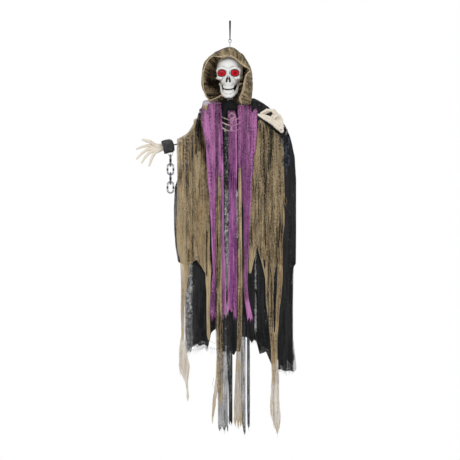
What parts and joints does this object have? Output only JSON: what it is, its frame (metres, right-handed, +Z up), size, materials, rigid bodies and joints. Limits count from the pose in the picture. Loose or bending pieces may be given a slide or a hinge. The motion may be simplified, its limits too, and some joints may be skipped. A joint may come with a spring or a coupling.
{
  "type": "hanging reaper decoration",
  "caption": "Hanging skeleton reaper figure with lit eyes, hinged jaw, gauze hood and capes, wired arms, moulded hands and hanging chains.",
  "frame": {"origin": "inside top of the ribbon loop that it hangs by", "axes": "+Z up, -Y the way the figure faces, +X to the viewer's right"},
  "size_m": [0.7581, 0.2578, 1.955],
  "materials": {
    "ribbon_black": "woven black ribbon",
    "steel": "bright wire",
    "bone": "blow-moulded, off-white",
    "hand_ivory": "moulded, ivory",
    "red_lens": "clear red, polished",
    "lamp_red": "clear red",
    "case_black": "fine texture",
    "cell": "plain sleeve",
    "lead": "insulated lead",
    "bar_grey": "moulded, grey",
    "wire": "drawn wire",
    "rib_ivory": "moulded, ivory",
    "tan_gauze": "loose woven gauze, frayed",
    "black_cloth": "thin black cloth, raw edges",
    "purple_gauze": "loose woven gauze, frayed",
    "grey_gauze": "loose woven gauze, frayed",
    "chain_plastic": "dark blue-black, glossy"
  },
  "bodies": {
    "hanger": {"hanging_loop": "ribbon_black"},
    "stem": {"eye_stem": "steel", "crown_nut": "steel"},
    "skull": {"skull_face": "bone", "skull_back": "bone", "eye_lens_left": "red_lens", "eye_lens_right": "red_lens", "lamp_left": "lamp_red", "lamp_right": "lamp_red", "lamp_lead_left": "lead", "lamp_lead_right": "lead", "battery_case": "case_black", "battery_cell_lower": "cell", "battery_cell_upper": "cell", "jaw_pin_left": "bone", "jaw_pin_right": "bone"},
    "jaw": {"jaw": "bone"},
    "battery_door": {"battery_door": "case_black"},
    "switch": {"switch_slider": "cell"},
    "torso": {"neck_post": "bar_grey", "shoulder_bar": "bar_grey", "rib_plate": "rib_ivory", "hood": "tan_gauze", "neck_scarf": "black_cloth", "black_robe_front": "black_cloth", "black_robe_back": "black_cloth", "black_cloak": "black_cloth", "purple_panel_left": "purple_gauze", "purple_panel_middle": "purple_gauze", "purple_panel_right": "purple_gauze", "tan_strip_left": "tan_gauze", "tan_strip_right": "tan_gauze", "tatter_grey": "grey_gauze", "tatter_dark": "grey_gauze", "tatter_long": "grey_gauze", "tatter_thin": "grey_gauze", "tan_cape_left": "tan_gauze", "tan_cape_right": "tan_gauze", "tan_cape_back": "tan_gauze", "upper_arm_wire_left": "wire", "upper_arm_wire_right": "wire", "sleeve_left": "black_cloth", "sleeve_right": "black_cloth"},
    "left_forearm": {"forearm_wire_left": "wire", "cuff_left": "black_cloth", "chain_tie_left": "black_cloth"},
    "left_hand": {"hand_left": "hand_ivory"},
    "right_forearm": {"forearm_wire_right": "wire", "cuff_right": "black_cloth", "chain_tie_right": "black_cloth"},
    "right_hand": {"hand_right": "hand_ivory"},
    "left_link_1": {"link_left_1": "chain_plastic"},
    "left_link_2": {"link_left_2": "chain_plastic"},
    "left_link_3": {"link_left_3": "chain_plastic"},
    "left_link_4": {"link_left_4": "chain_plastic"},
    "right_link_1": {"link_right_1": "chain_plastic"},
    "right_link_2": {"link_right_2": "chain_plastic"},
    "right_link_3": {"link_right_3": "chain_plastic"},
    "right_link_4": {"link_right_4": "chain_plastic"}
  },
  "joints": [
    {"name": "sway", "type": "hinge", "parent": "hanger", "child": "stem", "pos_m": [0, 0, -0.0892], "axis": [1, 0, 0], "range_deg": [-20, 20]},
    {"name": "turn", "type": "hinge", "parent": "stem", "child": "skull", "pos_m": [0, 0, -0.155], "axis": [0, 0, 1], "continuous": true},
    {"name": "neck_turn", "type": "hinge", "parent": "skull", "child": "torso", "pos_m": [0, 0, -0.32], "axis": [0, 0, 1], "range_deg": [-25, 25]},
    {"name": "jaw_open", "type": "hinge", "parent": "skull", "child": "jaw", "pos_m": [0.00295, 0.01674, -0.297], "axis": [0.9848, -0.1736, 0], "range_deg": [0, 10]},
    {"name": "battery_door_slide", "type": "slide", "parent": "skull", "child": "battery_door", "axis": [0, 0, -1], "range_m": [0, 0.022]},
    {"name": "switch_slide", "type": "slide", "parent": "skull", "child": "switch", "axis": [0.9848, -0.1736, 0], "range_m": [0, 0.004]},
    {"name": "left_elbow", "type": "hinge", "parent": "torso", "child": "left_forearm", "pos_m": [-0.24, 0, -0.582], "axis": [0, 0, 1], "range_deg": [0, 20]},
    {"name": "left_wrist", "type": "hinge", "parent": "left_forearm", "child": "left_hand", "pos_m": [-0.322, -0.006, -0.603], "axis": [-0.9663, -0.0707, -0.2475], "range_deg": [-30, 30]},
    {"name": "right_elbow", "type": "hinge", "parent": "torso", "child": "right_forearm", "pos_m": [0.262, 0, -0.538], "axis": [0, 0, 1], "range_deg": [0, 25]},
    {"name": "right_wrist", "type": "hinge", "parent": "right_forearm", "child": "right_hand", "pos_m": [0.24, -0.104, -0.527], "axis": [-0.2059, -0.9732, 0.1029], "range_deg": [-25, 25]},
    {"name": "left_chain_1", "type": "hinge", "parent": "left_forearm", "child": "left_link_1", "pos_m": [-0.282, -0.003, -0.6419], "axis": [-1, 0, 0], "range_deg": [0, 25]},
    {"name": "left_chain_2", "type": "hinge", "parent": "left_link_1", "child": "left_link_2", "pos_m": [-0.282, -0.003, -0.6778], "axis": [-1, 0, 0], "range_deg": [0, 25]},
    {"name": "left_chain_3", "type": "hinge", "parent": "left_link_2", "child": "left_link_3", "pos_m": [-0.282, -0.003, -0.7308], "axis": [-1, 0, 0], "range_deg": [0, 25]},
    {"name": "left_chain_4", "type": "hinge", "parent": "left_link_3", "child": "left_link_4", "pos_m": [-0.282, -0.003, -0.7632], "axis": [-1, 0, 0], "range_deg": [0, 25]},
    {"name": "right_chain_1", "type": "hinge", "parent": "right_forearm", "child": "right_link_1", "pos_m": [0.262, -0.084, -0.5561], "axis": [-1, 0, 0], "range_deg": [0, 25]},
    {"name": "right_chain_2", "type": "hinge", "parent": "right_link_1", "child": "right_link_2", "pos_m": [0.262, -0.084, -0.6091], "axis": [-1, 0, 0], "range_deg": [0, 25]},
    {"name": "right_chain_3", "type": "hinge", "parent": "right_link_2", "child": "right_link_3", "pos_m": [0.262, -0.084, -0.6415], "axis": [-1, 0, 0], "range_deg": [0, 25]},
    {"name": "right_chain_4", "type": "hinge", "parent": "right_link_3", "child": "right_link_4", "pos_m": [0.262, -0.084, -0.6945], "axis": [-1, 0, 0], "range_deg": [0, 25]}
  ]
}
